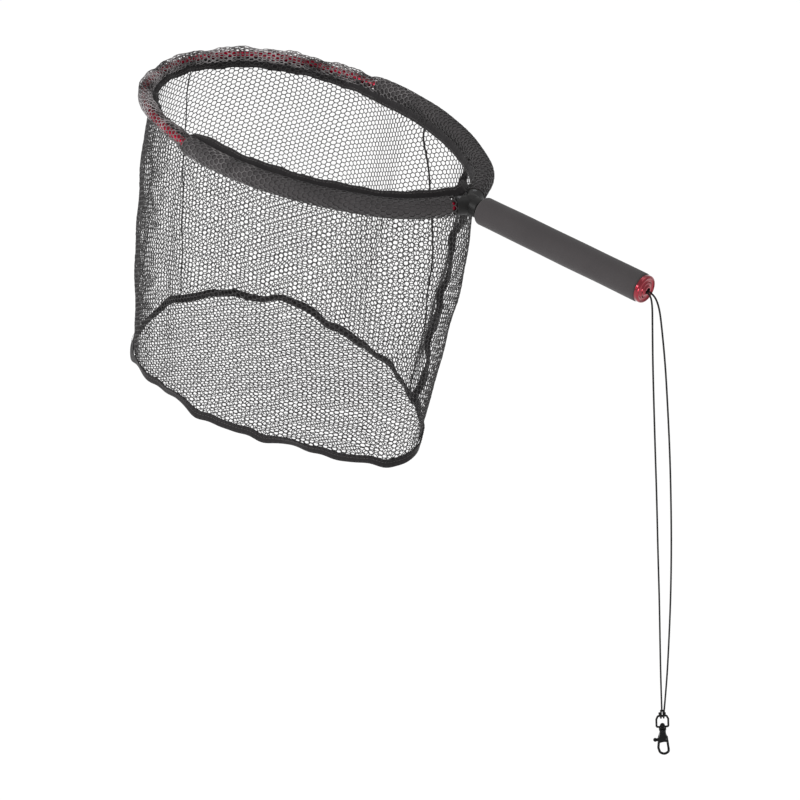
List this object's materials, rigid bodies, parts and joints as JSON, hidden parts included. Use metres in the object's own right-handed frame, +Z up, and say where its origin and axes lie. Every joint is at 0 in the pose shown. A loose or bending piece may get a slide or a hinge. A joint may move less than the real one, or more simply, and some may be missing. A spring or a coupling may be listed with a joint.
{
  "type": "landing net",
  "caption": "Hand landing net: anodised hoop with foam sleeves, deep coated-mesh bag, foam grip and a corded swivel clip.",
  "frame": {"origin": "centre of the foam grip, on the handle's axis, where a hand holds the net", "axes": "+X along the handle towards the butt, +Y towards the far side of the hoop, +Z up out of the hoop's plane; the bag and the lanyard hang towards -Z"},
  "size_m": [0.8765, 0.3438, 0.6861],
  "materials": {
    "anodised_tube": "red anodised, satin",
    "anodised_cap": "red anodised, bright turned",
    "moulded_block": "black moulded nylon",
    "grip_foam": "dark grey EVA foam, fine-sanded",
    "sleeve_foam": "dark grey EVA foam",
    "net_mesh": "black rubber-coated knotless hexagonal mesh",
    "binding_tape": "black woven binding tape",
    "lanyard_cord": "black braided cord",
    "black_plated_metal": "gloss black plated zinc casting",
    "blackened_steel": "blackened steel"
  },
  "bodies": {
    "root": {"hoop_tube": "anodised_tube", "throat_block": "moulded_block", "throat_pins": "blackened_steel", "handle_tube": "anodised_tube", "grip_foam": "grip_foam", "butt_cap": "anodised_cap", "foam_sleeve_far": "sleeve_foam", "foam_sleeve_near": "sleeve_foam", "rim_sleeve_far": "net_mesh", "rim_sleeve_near": "net_mesh", "rim_tape": "binding_tape", "net_wall_far": "net_mesh", "net_wall_near": "net_mesh", "net_base": "net_mesh", "base_tape": "binding_tape", "end_seam_tape": "binding_tape", "side_seam": "binding_tape", "lanyard_leg_far": "lanyard_cord", "lanyard_leg_near": "lanyard_cord", "stopper_knot": "lanyard_cord", "lanyard_hitch": "lanyard_cord"},
    "bow": {"swivel_bow": "black_plated_metal"},
    "snap": {"swivel_post": "black_plated_metal", "snap_hook": "black_plated_metal", "trigger_pin": "blackened_steel", "trigger_spring": "blackened_steel"},
    "gate": {"trigger_gate": "black_plated_metal"}
  },
  "joints": [
    {"name": "bow_swing", "type": "hinge", "parent": "root", "child": "bow", "pos_m": [0.2012, 0.0684, -0.606], "axis": [0.7217, 0.673, 0.1616], "range_deg": [-65, 65]},
    {"name": "snap_swivel", "type": "hinge", "parent": "bow", "child": "snap", "pos_m": [0.2033, 0.07036, -0.62357], "axis": [-0.1182, -0.1102, 0.9869], "continuous": true},
    {"name": "gate_trigger", "type": "hinge", "parent": "snap", "child": "gate", "pos_m": [0.20849, 0.07519, -0.64085], "axis": [-0.682, 0.7314, 0], "range_deg": [0, 20], "stiffness_Nm_per_rad": 0.03, "springref_deg": -20.05, "deforming": ["trigger_spring"]}
  ]
}
